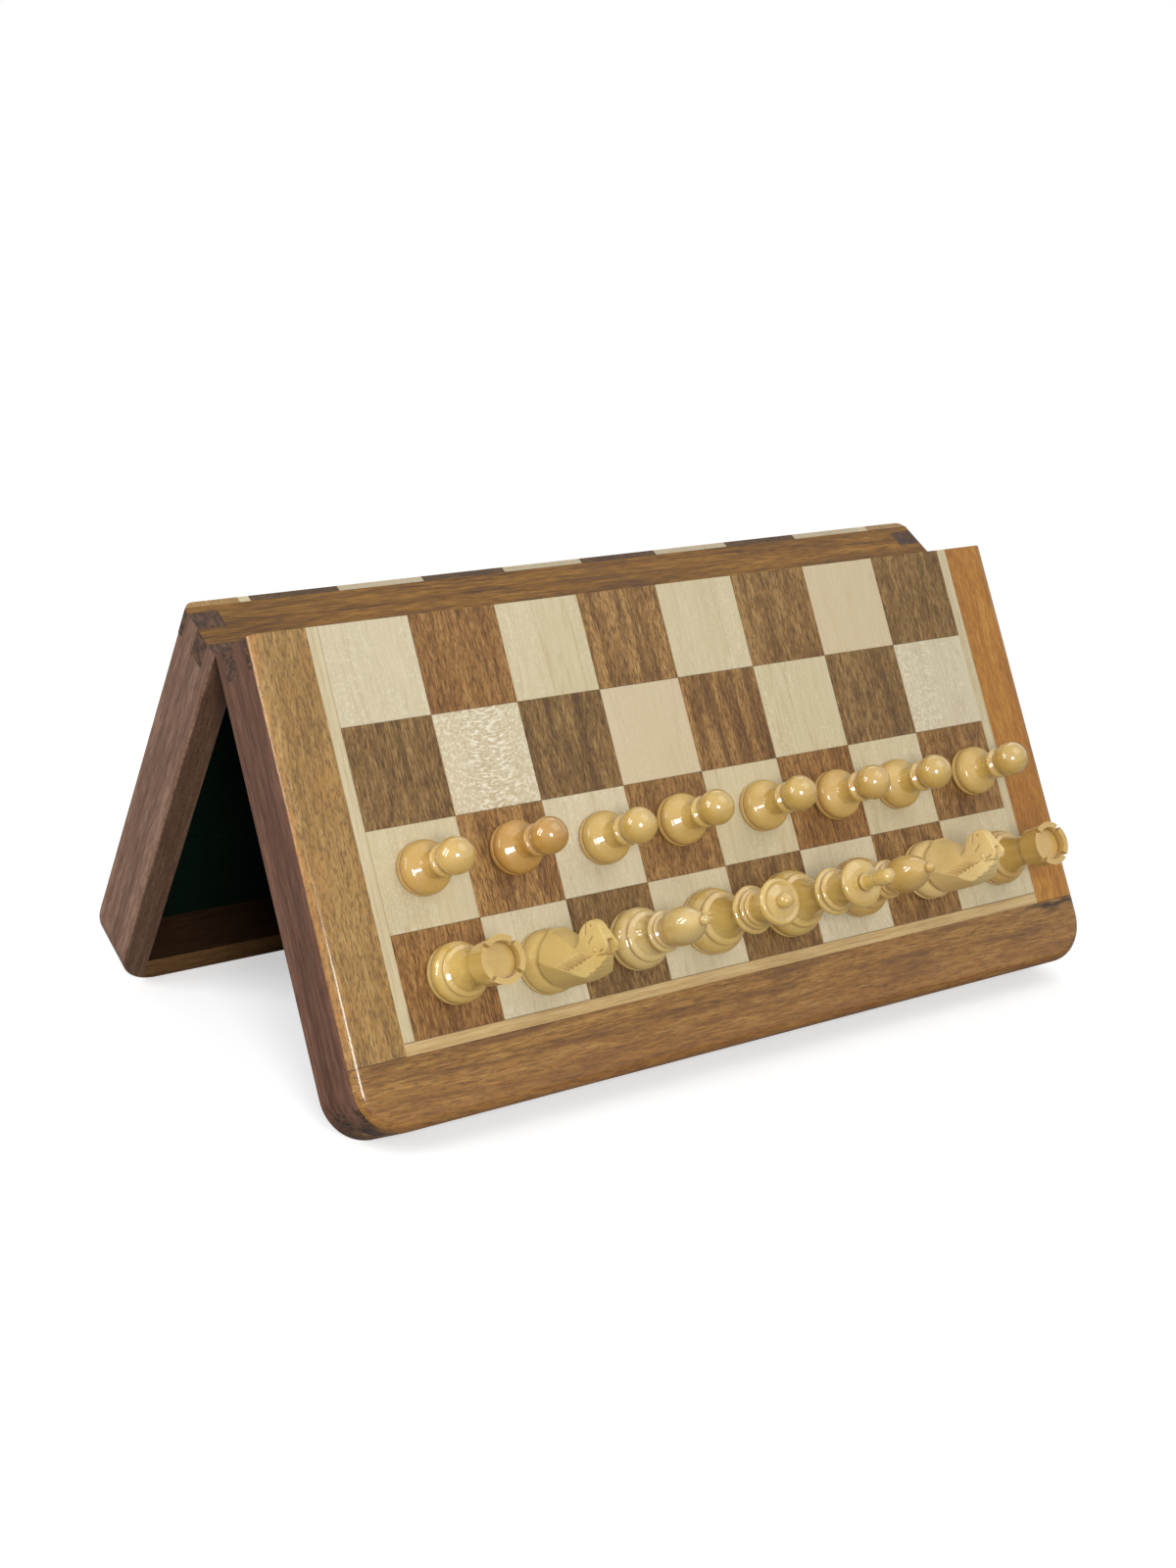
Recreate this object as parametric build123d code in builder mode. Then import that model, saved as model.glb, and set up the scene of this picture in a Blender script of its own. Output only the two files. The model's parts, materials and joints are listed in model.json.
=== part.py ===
"""Magnetic folding chess set: a hinged two-tray box whose outside is the chess board.

The box is modelled part open, stood up like a tent on its two far edges. X runs along the
hinge, the front half faces -Y and the origin is on the table under the hinge.
"""

import os
from math import atan2, cos, degrees, radians, sin, sqrt

from build123d import *

# Board
square = 32.0
files = 8
ranks_per_half = 4
side_border = 19.2
far_border = 21.5
inlay = 3.8
top_layer = 2.4
glue_line = 0.06

# Case
half_thickness = 24.4
wall = 10.0
corner_radius = 15.0
board_edge_radius = 3.8
rim_edge_radius = 0.8
tent_angle = 56.8
closing_gap = 0.15
first_finger = 5.0
finger = 7.2

# Tray floor, from the squares inwards
steel_thickness = 0.6
deck_thickness = 3.0
lining_thickness = 0.8
floor_gap = 0.1

# Butt hinges
hinge_spacing = 190.0
hinge_length = 32.0
knuckle_count = 5
knuckle_radius = 1.9
knuckle_gap = 0.15
knuckle_relief = 0.3
pin_radius = 0.8
pin_clearance = 0.05
leaf_width = 8.0
leaf_thickness = 0.9
mortise_gap = 0.15
screw_spacing = 18.0
screw_from_pin = 5.2
screw_head_radius = 1.6
screw_shank_radius = 0.75
screw_length = 7.0
screw_clearance = 0.05
slot_width = 0.4
slot_depth = 0.35

# Feet of the chess pieces
felt_thickness = 0.4
felt_setback = 0.6
seat_gap = 0.05
foot_rim = 1.8
foot_chamfer = 0.4
foot_groove = 0.45
magnet_thickness = 3.0
pawn_magnet_radius = 4.0
major_magnet_radius = 5.0
magnet_clearance = 0.1

# Turned outlines above the foot rim: radius, height over the board, outward bulge of the
# stretch that ends there
pawn_foot = 8.4
pawn_turning = [
    (6.4, 7.0, 1.0),
    (4.3, 8.2, 0.0),
    (4.8, 14.8, -1.0),
    (4.6, 16.4, 0.5),
    (3.9, 16.9, 0.0),
]
pawn_ball_radius = 5.8
pawn_ball_height = 22.3

rook_foot = 9.4
rook_turning = [
    (7.6, 7.6, 1.0),
    (7.4, 9.0, 0.5),
    (6.5, 9.4, 0.0),
    (5.4, 20.4, -0.7),
    (6.8, 21.4, -0.1),
]
rook_height = 30.2
rook_turret_radius = 7.5
rook_turret_bulge = -0.1
rook_well_radius = 5.6
rook_well_depth = 2.8
rook_notch_width = 1.3
rook_notch_depth = 1.7
rook_notches = 4

bishop_foot = 9.9
bishop_turning = [
    (7.6, 7.8, 1.1),
    (7.4, 9.4, 0.6),
    (6.4, 9.8, 0.0),
    (4.2, 16.0, -0.6),
    (6.2, 17.2, -0.4),
    (6.2, 18.4, 0.4),
    (5.1, 18.8, 0.0),
    (5.1, 19.8, 0.35),
    (4.5, 20.2, 0.0),
    (6.1, 27.6, 0.5),
    (1.3, 37.7, 1.3),
]
bishop_ball_radius = 1.75
bishop_ball_height = 39.3

queen_foot = 10.7
queen_turning = [
    (8.2, 8.2, 1.2),
    (8.0, 10.0, 0.7),
    (6.9, 10.4, 0.0),
    (4.7, 22.2, -0.9),
    (7.3, 24.0, -0.6),
    (7.3, 25.5, 0.5),
    (6.1, 25.9, 0.0),
    (6.1, 27.2, 0.4),
    (5.3, 27.6, 0.0),
    (5.3, 28.6, 0.35),
    (4.8, 29.0, 0.0),
    (7.3, 37.6, -0.9),
    (7.4, 39.3, 0.25),
    (6.4, 39.9, 0.2),
    (5.4, 39.5, 0.0),
    (2.2, 40.2, 0.0),
]
queen_ball_radius = 2.5
queen_ball_height = 42.0

king_foot = 10.9
king_turning = [
    (8.4, 8.4, 1.2),
    (8.2, 10.2, 0.7),
    (7.1, 10.6, 0.0),
    (4.8, 23.2, -1.0),
    (7.3, 25.2, -0.6),
    (7.3, 26.8, 0.5),
    (6.2, 27.2, 0.0),
    (6.2, 28.5, 0.4),
    (5.3, 28.9, 0.0),
    (6.8, 38.4, -0.3),
    (7.5, 39.0, 0.0),
    (7.6, 40.6, 0.25),
    (6.9, 41.2, 0.1),
    (2.5, 42.0, 0.2),
    (2.5, 43.2, 0.3),
    (2.2, 43.5, 0.0),
    (2.2, 47.8, -0.15),
    (1.8, 48.2, 0.0),
    (2.5, 49.0, 0.1),
    (2.3, 54.3, 0.3),
]
king_height = 55.5

knight_foot = 10.1
knight_turning = [
    (8.3, 8.0, 0.8),
    (8.0, 9.2, -0.1),
    (9.0, 11.0, -0.3),
]
knight_blank_radius = 9.4
knight_blank_base = 11.2
knight_height = 38.8
# Side view of the horse, as distance forward and height: where the planing starts over the
# foot, the ear's tip, and the throat and cheek on the line between the neck and the head
planing_start = 9.2
ear_tip = (0.2, knight_height)
throat = (1.4, 23.4)
cheek_back = (-2.3, 31.0)
head_back = -2.4
# Sawn outline, with the outward bulge of the stretch that ends at each point
knight_profile = [
    (knight_blank_radius, knight_blank_base, 0.0),
    (8.5, 12.2, 0.0),
    (*throat, 0.3),
    (3.2, 26.0, -0.2),
    (5.2, 26.1, 0.1),
    (7.6, 28.8, 0.3),
    (8.3, 32.0, 0.2),
    (6.6, 35.4, 0.3),
    (2.9, 37.4, -0.1),
    (*ear_tip, -0.1),
    (-1.2, 38.2, 0.1),
    (-5.4, 33.2, 0.3),
    (-7.7, 28.4, 0.2),
    (-knight_blank_radius, 22.6, 0.2),
    (-knight_blank_radius, knight_blank_base, 0.0),
]
# Each flank is planed three times. A cut has its half thickness at a place given forward and
# upward, and grows thinner by its wedge per mm forward and by its taper per mm upward
chest_half = 9.35
chest_place = (0.0, 12.0)
chest_wedge = 0.73
chest_taper = 0.37
mane_half = 4.4
mane_place = (-7.4, 29.0)
mane_wedge = -0.25
mane_taper = 0.6
face_half = 1.4
face_place = (8.3, 32.0)
face_wedge = 0.19
face_taper = 0.12
# Carving
mane_grooves = 7
mane_groove_start = (-0.3, 25.2)
mane_groove_step = (-0.45, -1.25)
mane_groove_run = (-2.1, 5.8)
mane_groove_radius = 0.45
mane_groove_tilt = 4.0
crest_notches = [(-3.0, 36.2), (-4.8, 34.0), (-6.2, 31.7), (-7.2, 29.4)]
crest_notch_radius = 0.3
eye_place = (-0.6, 33.1)
socket_radius = 1.0
eye_radius = 0.65
nostril_place = (6.7, 31.8)
nostril_radius = 0.45
mouth_place = (6.2, 29.4)
mouth_length = 4.4
mouth_slope = 12.0
jaw_place = (2.4, 31.0)
jaw_length = 3.6
jaw_slope = 50.0
ear_place = (-1.3, 35.4)
ear_length = 3.0
ear_slope = 75.0
carved_line = 0.5
carving_depth = 0.45
ear_valley_width = 3.2
ear_valley_depth = 2.8
ear_valley_start = 1.6

# Opening order from the front player's left, and how far each piece stands off the middle
# of its square, along the rank and towards the near edge
white_back_rank = ["rook", "knight", "bishop", "queen", "king", "bishop", "knight", "rook"]
black_back_rank = ["rook", "knight", "bishop", "king", "queen", "bishop", "knight", "rook"]
wing_names = ["left", "left", "left", "", "", "right", "right", "right"]
back_rank_shift = [
    (1.9, -0.9), (2.7, 1.8), (5.3, 1.1), (3.3, 0.8),
    (4.2, 0.8), (2.9, 0.5), (3.4, -0.1), (4.1, 1.2),
]
pawn_shift = [
    (-0.7, -1.9), (1.0, -2.6), (2.1, -0.4), (1.2, -1.4),
    (3.6, -0.8), (3.3, 0.2), (-0.9, 0.7), (3.3, 1.3),
]

# Worked out from the sizes above
half_width = files * square / 2 + inlay + side_border
play_width = files * square / 2
play_length = ranks_per_half * square
half_length = play_length + inlay + far_border
wall_top = half_thickness - top_layer
deck_top = wall_top - steel_thickness
deck_bottom = deck_top - deck_thickness
lean = tent_angle / 2
axis_height = (
    (half_length - rim_edge_radius) * cos(radians(lean))
    - (closing_gap + rim_edge_radius) * sin(radians(lean))
    + rim_edge_radius
)
leaf_back = closing_gap + leaf_thickness

os.makedirs("parts", exist_ok=True)


def board_plane(side):
    """Frame of a half: x along the hinge, y from the hinge to the far edge, z out of the board.

    side is -1 for the front half and +1 for the rear half.
    """
    out = (0, side * cos(radians(lean)), sin(radians(lean)))
    return Plane(origin=(0, 0, axis_height), x_dir=(side, 0, 0), z_dir=out)


def block(low, high, mode=Mode.ADD):
    """A box between two opposite corners, in the open part's own frame."""
    middle = [(a + b) / 2 for a, b in zip(low, high)]
    with Locations(tuple(middle)):
        Box(*[b - a for a, b in zip(low, high)], mode=mode)


def keep(part, label):
    """Name a finished piece and write it."""
    part.label = label
    export_step(part, f"parts/{label}.step")


# Outer form of one half: far corners rounded in plan, board edges rounded over
with BuildPart() as half_form:
    with BuildSketch(Plane.XY.offset(closing_gap)) as plan:
        with Locations((0, (closing_gap + half_length) / 2)):
            Rectangle(2 * half_width, half_length - closing_gap)
        fillet(plan.vertices().group_by(Axis.Y)[-1], corner_radius)
    extrude(amount=half_thickness - closing_gap)
    board_face = half_form.faces().sort_by(Axis.Z)[-1]
    fillet(board_face.edges().sort_by(Axis.Y)[1:], board_edge_radius)
    rim_face = half_form.faces().sort_by(Axis.Z)[0]
    fillet(rim_face.edges().sort_by(Axis.Y)[1:], rim_edge_radius)


def finger_bands():
    """Heights of the joint's fingers, those of the side walls first, then those between."""
    joints = [closing_gap, first_finger, first_finger + finger, first_finger + 2 * finger, wall_top]
    bands = list(zip(joints[:-1], joints[1:]))
    return bands[0::2], bands[1::2]


side_fingers, end_fingers = finger_bands()


def side_wall(plane, hand, label):
    """Wall across the ends of the ranks; hand is its side of the middle, -1 or 1."""
    outer, inner = hand * half_width, hand * (half_width - wall)
    x_low, x_high = min(outer, inner), max(outer, inner)
    with BuildPart(plane) as part:
        block((x_low, wall, closing_gap), (x_high, half_length - wall, wall_top))
        for low, high in side_fingers:
            block((x_low, closing_gap, low), (x_high, wall, high))
            block((x_low, half_length - wall, low), (x_high, half_length, high))
        add(half_form.part, mode=Mode.INTERSECT)
    keep(part.part, label)


def fingered_end(y_low, y_high):
    """Straight wall between the side walls, with fingers that reach through them."""
    inner = half_width - wall
    block((-inner, y_low, closing_gap), (inner, y_high, wall_top))
    for low, high in end_fingers:
        block((-half_width, y_low, low), (-inner, y_high, high))
        block((inner, y_low, low), (half_width, y_high, high))


def far_wall(plane, label):
    with BuildPart(plane) as part:
        fingered_end(half_length - wall, half_length)
        add(half_form.part, mode=Mode.INTERSECT)
    keep(part.part, label)


def hinge_places():
    """Middles of the two hinges along the hinge line."""
    return [-hinge_spacing / 2, hinge_spacing / 2]


def screw_places():
    """Middles of the leaf screws: along the hinge line, and out from it."""
    shifts = [-screw_spacing / 2, screw_spacing / 2]
    return [(x + shift, screw_from_pin) for x in hinge_places() for shift in shifts]


def hinge_wall(plane, label):
    """Wall along the hinge, let in for the leaves, their knuckles and their screws."""
    reach = hinge_length / 2 + mortise_gap
    with BuildPart(plane) as part:
        fingered_end(closing_gap, wall)
        for x in hinge_places():
            low = (x - reach, 0, 0)
            high = (x + reach, leaf_width + mortise_gap, leaf_back + mortise_gap)
            block(low, high, mode=Mode.SUBTRACT)
            with Locations(Location((x, 0, 0), (0, 90, 0))):
                Cylinder(knuckle_radius + knuckle_relief, 2 * reach, mode=Mode.SUBTRACT)
        for x, y in screw_places():
            with Locations((x, y, screw_length / 2)):
                pilot = screw_shank_radius + screw_clearance
                Cylinder(pilot, screw_length + 2 * screw_clearance, mode=Mode.SUBTRACT)
    keep(part.part, label)


def floor_layer(plane, low, high, label):
    """Sheet that fills the inside of the walls between two depths."""
    inner = half_width - wall - floor_gap
    with BuildPart(plane) as part:
        block((-inner, wall + floor_gap, low), (inner, half_length - wall - floor_gap, high))
    keep(part.part, label)


def squares(plane, first, label):
    """Every second square of a half; first is 0 where the outer hinge-side one is taken."""
    with BuildPart(plane) as part:
        for file in range(files):
            for rank in range(ranks_per_half):
                if (file + rank) % 2 != first:
                    continue
                x = play_width - (file + 0.5) * square
                near = max(rank * square + glue_line / 2, closing_gap)
                reach = (square - glue_line) / 2
                block((x - reach, near, wall_top),
                      (x + reach, (rank + 1) * square - glue_line / 2, half_thickness))
    keep(part.part, label)


def inlay_strips(plane, label):
    """Pale lines down both sides of the squares and across their far end."""
    with BuildPart(plane) as part:
        for low in (-play_width - inlay, play_width):
            block((low, closing_gap, wall_top),
                  (low + inlay, play_length - glue_line, half_thickness))
        block((-play_width - inlay, play_length, wall_top),
              (play_width + inlay, play_length + inlay, half_thickness))
    keep(part.part, label)


def border_strips(plane, label):
    """Frame of the board: two side strips that butt against the far one."""
    with BuildPart(plane) as part:
        for low in (-half_width, half_width - side_border):
            block((low, closing_gap, wall_top),
                  (low + side_border, play_length + inlay - glue_line, half_thickness))
        block((-half_width, play_length + inlay, wall_top),
              (half_width, half_length, half_thickness))
        add(half_form.part, mode=Mode.INTERSECT)
    keep(part.part, label)


def knuckle_middles(first):
    """Middles of every second knuckle of a hinge, counted along it from its own middle."""
    pitch = hinge_length / knuckle_count
    return [(n - (knuckle_count - 1) / 2) * pitch for n in range(first, knuckle_count, 2)]


def hinge_leaves(plane, first, label):
    """A half's two leaves; its knuckles are number first and every second one after it."""
    pitch = hinge_length / knuckle_count
    with BuildPart(plane) as part:
        for x in hinge_places():
            reach = hinge_length / 2
            block((x - reach, 0, closing_gap), (x + reach, leaf_width, leaf_back))
            for middle in knuckle_middles(1 - first):
                gap = pitch / 2 + knuckle_gap
                block((x + middle - gap, -knuckle_radius, -knuckle_radius),
                      (x + middle + gap, knuckle_radius + knuckle_relief, leaf_back),
                      mode=Mode.SUBTRACT)
            for middle in knuckle_middles(first):
                with Locations(Location((x + middle, 0, 0), (0, 90, 0))):
                    Cylinder(knuckle_radius, pitch)
            with Locations(Location((x, 0, 0), (0, 90, 0))):
                Cylinder(pin_radius + pin_clearance, hinge_length, mode=Mode.SUBTRACT)
        for x, y in screw_places():
            with Locations(Location((x, y, closing_gap + leaf_thickness / 2))):
                Cone(screw_head_radius + screw_clearance, screw_shank_radius + screw_clearance,
                     leaf_thickness, mode=Mode.SUBTRACT)
    keep(part.part, label)


def hinge_pins(plane, label):
    with BuildPart(plane) as part:
        with Locations(*[Location((x, 0, 0), (0, 90, 0)) for x in hinge_places()]):
            Cylinder(pin_radius, hinge_length)
    keep(part.part, label)


def hinge_screws(plane, label):
    """Slotted countersunk screws, flush with the leaves."""
    with BuildPart(plane) as part:
        for x, y in screw_places():
            with Locations(Location((x, y, closing_gap + leaf_thickness / 2))):
                Cone(screw_head_radius, screw_shank_radius, leaf_thickness)
            with Locations(Location((x, y, (leaf_back + screw_length) / 2))):
                Cylinder(screw_shank_radius, screw_length - leaf_back)
            block((x - screw_head_radius, y - slot_width / 2, closing_gap),
                  (x + screw_head_radius, y + slot_width / 2, closing_gap + slot_depth),
                  mode=Mode.SUBTRACT)
    keep(part.part, label)


def dome_row(neck, low, top):
    """Outline row of a round top, centred on the axis, that starts at the neck's radius."""
    rise = top - low
    radius = (neck**2 + rise**2) / (2 * rise)
    chord = sqrt(neck**2 + rise**2)
    return (0.0, top, radius - sqrt(radius**2 - (chord / 2) ** 2))


def ball_rows(radius, height, neck):
    """Outline rows of a ball that starts at the neck's radius and ends on the axis."""
    start = height - sqrt(radius**2 - neck**2)
    return [(neck, start, 0.0), dome_row(neck, start, height + radius)]


def turned_rows(foot, rows):
    """Whole outline of a turned piece: underside, foot rim, its groove, then the rows given."""
    groove_top = foot_rim + 2 * foot_groove
    return [
        (0.0, felt_thickness, 0.0),
        (foot - foot_chamfer, felt_thickness, 0.0),
        (foot, felt_thickness + foot_chamfer, 0.0),
        (foot, foot_rim, 0.0),
        (foot - foot_groove, foot_rim + foot_groove, 0.0),
        (foot - foot_groove / 2, groove_top, 0.0),
    ] + rows


def outline(rows):
    """Edges through rows of (across, up, bulge), as lines where the bulge is 0 and else arcs."""
    for (x0, y0, _), (x1, y1, bulge) in zip(rows, rows[1:] + rows[:1]):
        if bulge:
            SagittaArc((x0, y0), (x1, y1), -bulge)
        elif (x0, y0) != (x1, y1):
            Line((x0, y0), (x1, y1))


def magnet_recess(radius):
    """Blind hole in the underside for the magnet."""
    depth = magnet_thickness + magnet_clearance
    with Locations((0, 0, felt_thickness + depth / 2)):
        Cylinder(radius + magnet_clearance, depth, mode=Mode.SUBTRACT)


def turned_body(foot, rows, magnet_radius):
    """Solid of revolution with its magnet recess, standing at the origin."""
    with BuildPart() as body:
        with BuildSketch(Plane.XZ):
            with BuildLine():
                outline(turned_rows(foot, rows))
            make_face()
        revolve(axis=Axis.Z)
        magnet_recess(magnet_radius)
    return body.part


def pawn_body():
    neck = pawn_turning[-1][0]
    ball = ball_rows(pawn_ball_radius, pawn_ball_height, neck)
    return turned_body(pawn_foot, pawn_turning + ball, pawn_magnet_radius)


def rook_body():
    """Turret with a round well and narrow notches in its rim."""
    floor = rook_height - rook_well_depth
    top = [
        (rook_turret_radius, rook_height, rook_turret_bulge),
        (rook_well_radius, rook_height, 0.0),
        (rook_well_radius, floor, 0.0),
        (0.0, floor, 0.0),
    ]
    with BuildPart() as body:
        add(turned_body(rook_foot, rook_turning + top, major_magnet_radius))
        middle = rook_height - rook_notch_depth / 2
        ring = (rook_well_radius + rook_turret_radius) / 2
        depth = 2 * (rook_turret_radius - rook_well_radius)
        with Locations((0, 0, middle)):
            with PolarLocations(ring, rook_notches, start_angle=180 / rook_notches):
                Box(depth, rook_notch_width, rook_notch_depth, mode=Mode.SUBTRACT)
    return body.part


def bishop_body():
    neck = bishop_turning[-1][0]
    ball = ball_rows(bishop_ball_radius, bishop_ball_height, neck)
    return turned_body(bishop_foot, bishop_turning + ball, major_magnet_radius)


def queen_body():
    neck = queen_turning[-1][0]
    ball = ball_rows(queen_ball_radius, queen_ball_height, neck)
    return turned_body(queen_foot, queen_turning + ball, major_magnet_radius)


def king_body():
    neck, low, _ = king_turning[-1]
    top = [dome_row(neck, low, king_height)]
    return turned_body(king_foot, king_turning + top, major_magnet_radius)


def flank_place(cut, hand, at, slope=0.0):
    """Frame on a planed flank: x runs forward and up by the slope, z comes out of the wood."""
    half, (forward, height), wedge, taper = cut
    thickness = half - wedge * (at[0] - forward) - taper * (at[1] - height)
    ahead, up = cos(radians(slope)), sin(radians(slope))
    along = (-hand * (wedge * ahead + taper * up), -ahead, up)
    return Plane(origin=(hand * thickness, -at[0], at[1]), x_dir=along, z_dir=(hand, -wedge, taper))


chest_cut = (chest_half, chest_place, chest_wedge, chest_taper)
mane_cut = (mane_half, mane_place, mane_wedge, mane_taper)
face_cut = (face_half, face_place, face_wedge, face_taper)
side_view = Plane(origin=(0, 0, 0), x_dir=(0, -1, 0), z_dir=(-1, 0, 0))


def shavings(cut, region, hand):
    """Wood that lies outside a planed flank, within a region of the side view."""
    with BuildPart() as waste:
        with BuildSketch(side_view):
            Polygon(*region, align=None)
        extrude(amount=2 * knight_blank_radius, both=True)
        split(bisect_by=flank_place(cut, hand, cut[1]), keep=Keep.TOP)
    return waste.part


def knight_body():
    """Turned blank with the head sawn from its side, planed on both flanks and carved."""
    reach = 2 * knight_blank_radius
    above = 2 * knight_height
    blank = [
        (knight_blank_radius, knight_blank_base, 0.0),
        (knight_blank_radius, knight_height, 0.0),
        (0.0, knight_height, 0.0),
    ]
    neck = [
        (-reach, planing_start), (reach, planing_start), (reach, throat[1]), throat,
        cheek_back, (head_back, knight_height), (head_back, above), (-reach, above),
    ]
    face = [throat, cheek_back, (head_back, knight_height), (head_back, above),
            (reach, above), (reach, throat[1])]
    cuts = [(chest_cut, neck), (mane_cut, neck), (face_cut, face)]
    waste = [shavings(cut, region, hand) for cut, region in cuts for hand in (-1, 1)]
    with BuildPart() as body:
        add(turned_body(knight_foot, knight_turning + blank, major_magnet_radius))
        with BuildSketch(side_view) as offcut:
            Polygon((-reach, knight_blank_base), (reach, knight_blank_base), (reach, above),
                    (-reach, above), align=None)
            with BuildLine():
                outline(knight_profile)
            make_face(mode=Mode.SUBTRACT)
        extrude(offcut.sketch, amount=reach, both=True, mode=Mode.SUBTRACT)
        for piece in waste:
            add(piece, mode=Mode.SUBTRACT)
        for hand in (-1, 1):
            carve_mane(hand)
            carve_face(hand)
        carve_crest()
    return body.part


def carve_mane(hand):
    """Row of parallel gouges across one side of the neck."""
    run_forward, run_up = mane_groove_run
    length = sqrt(run_forward**2 + run_up**2)
    slope = degrees(atan2(run_up, run_forward))
    for n in range(mane_grooves):
        forward = mane_groove_start[0] + n * mane_groove_step[0] + run_forward / 2
        height = mane_groove_start[1] + n * mane_groove_step[1] + run_up / 2
        with Locations(flank_place(chest_cut, hand, (forward, height), slope)):
            Cylinder(mane_groove_radius, length, rotation=(0, 90 + mane_groove_tilt, 0),
                     mode=Mode.SUBTRACT)


def carve_face(hand):
    """Eye, nostril, mouth, jaw and ear line of one side of the head."""
    with Locations(flank_place(face_cut, hand, eye_place)):
        Cylinder(socket_radius, 2 * carving_depth, mode=Mode.SUBTRACT)
        Sphere(eye_radius)
    with Locations(flank_place(face_cut, hand, nostril_place)):
        Cylinder(nostril_radius, 2 * carving_depth, mode=Mode.SUBTRACT)
    with Locations(flank_place(face_cut, hand, mouth_place, mouth_slope)):
        Box(mouth_length, carved_line, 2 * carving_depth, mode=Mode.SUBTRACT)
    with Locations(flank_place(face_cut, hand, jaw_place, jaw_slope)):
        Box(jaw_length, carved_line, 2 * carving_depth, mode=Mode.SUBTRACT)
    with Locations(flank_place(face_cut, hand, ear_place, ear_slope)):
        Box(ear_length, carved_line, 2 * carving_depth, mode=Mode.SUBTRACT)


def carve_crest():
    """Valley between the ears, and notches down the back of the mane."""
    low, high = knight_height - ear_valley_depth, knight_height + ear_valley_depth
    with BuildSketch(Plane.XZ.offset(ear_valley_start)) as valley:
        Polygon((0, low), (ear_valley_width, high), (-ear_valley_width, high), align=None)
    extrude(valley.sketch, amount=-2 * knight_blank_radius, mode=Mode.SUBTRACT)
    for forward, height in crest_notches:
        with Locations(Location((0, -forward, height), (0, 90, 0))):
            Cylinder(crest_notch_radius, 2 * knight_blank_radius, mode=Mode.SUBTRACT)


bodies = {
    "pawn": (pawn_body(), pawn_foot, pawn_magnet_radius),
    "rook": (rook_body(), rook_foot, major_magnet_radius),
    "knight": (knight_body(), knight_foot, major_magnet_radius),
    "bishop": (bishop_body(), bishop_foot, major_magnet_radius),
    "queen": (queen_body(), queen_foot, major_magnet_radius),
    "king": (king_body(), king_foot, major_magnet_radius),
}


def chess_piece(board, kind, file, rank, shift, label):
    """Wooden body, magnet and felt pad of one piece, on its square of a half."""
    x = play_width - (file + 0.5) * square - shift[0]
    y = (rank + 0.5) * square + shift[1]
    foot = board.from_local_coords(Vector(x, y, half_thickness + seat_gap))
    seat = Plane(origin=foot, x_dir=board.x_dir, z_dir=board.z_dir)
    body, foot_radius, magnet_radius = bodies[kind]
    with BuildPart(seat) as wood:
        add(body)
    with BuildPart(seat.offset(felt_thickness)) as magnet:
        Cylinder(magnet_radius, magnet_thickness, align=(Align.CENTER, Align.CENTER, Align.MIN))
    with BuildPart(seat) as pad:
        Cylinder(foot_radius - felt_setback, felt_thickness,
                 align=(Align.CENTER, Align.CENTER, Align.MIN))
    pieces = Compound(children=[wood.part, magnet.part, pad.part])
    keep(pieces, label)


def chess_army(board, colour, back_rank):
    """The sixteen pieces of one player, in their opening places on that player's half."""
    for file, kind in enumerate(back_rank):
        wing = wing_names[file]
        label = "_".join(word for word in (colour, wing, kind) if word)
        chess_piece(board, kind, file, ranks_per_half - 1, back_rank_shift[file], label)
        pawn_label = f"{colour}_pawn_{file + 1}"
        chess_piece(board, "pawn", file, ranks_per_half - 2, pawn_shift[file], pawn_label)


def board_half(side, name):
    """Everything of one half but its chess pieces and hinges."""
    plane = board_plane(side)
    hinge_wall(plane, f"{name}_hinge_wall")
    far_wall(plane, f"{name}_far_wall")
    side_wall(plane, -side, f"{name}_left_wall")
    side_wall(plane, side, f"{name}_right_wall")
    floor_layer(plane, deck_top, wall_top, f"{name}_steel_sheet")
    floor_layer(plane, deck_bottom, deck_top, f"{name}_deck")
    floor_layer(plane, deck_bottom - lining_thickness, deck_bottom, f"{name}_felt_lining")
    squares(plane, 0, f"{name}_light_squares")
    squares(plane, 1, f"{name}_dark_squares")
    inlay_strips(plane, f"{name}_inlay_strips")
    border_strips(plane, f"{name}_border_strips")


front, rear = board_plane(-1), board_plane(1)
board_half(-1, "front")
board_half(1, "rear")
hinge_leaves(front, 0, "front_hinge_leaves")
hinge_leaves(rear, 1, "rear_hinge_leaves")
hinge_screws(front, "front_hinge_screws")
hinge_screws(rear, "rear_hinge_screws")
hinge_pins(front, "hinge_pins")
chess_army(front, "white", white_back_rank)
chess_army(rear, "black", black_back_rank)
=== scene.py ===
"""Looks of the magnetic folding chess set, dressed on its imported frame."""

import json

import bpy
from mathutils import Matrix, Vector

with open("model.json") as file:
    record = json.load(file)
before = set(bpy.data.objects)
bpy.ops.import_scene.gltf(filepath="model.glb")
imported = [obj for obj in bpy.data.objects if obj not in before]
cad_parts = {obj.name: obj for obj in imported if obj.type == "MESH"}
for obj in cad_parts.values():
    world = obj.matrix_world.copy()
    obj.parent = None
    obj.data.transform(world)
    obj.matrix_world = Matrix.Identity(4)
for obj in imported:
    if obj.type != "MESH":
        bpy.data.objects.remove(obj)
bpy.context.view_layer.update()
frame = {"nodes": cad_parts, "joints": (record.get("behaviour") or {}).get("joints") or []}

# Board in millimetres, as the finishes use it: x along the hinge, u away from it and w out of
# the board
SQUARE = 32.0
INLAY = 3.8
SIDE_BORDER = 19.2
FAR_BORDER = 21.5
GLUE_LINE = 0.06
WALL = 10.0
BOARD_FACE = 24.4
TOP_LAYER = 2.4
WALL_TOP = BOARD_FACE - TOP_LAYER
PLAY_HALF_WIDTH = 4 * SQUARE
PLAY_LENGTH = 4 * SQUARE
HALF_WIDTH = PLAY_HALF_WIDTH + INLAY + SIDE_BORDER
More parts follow.
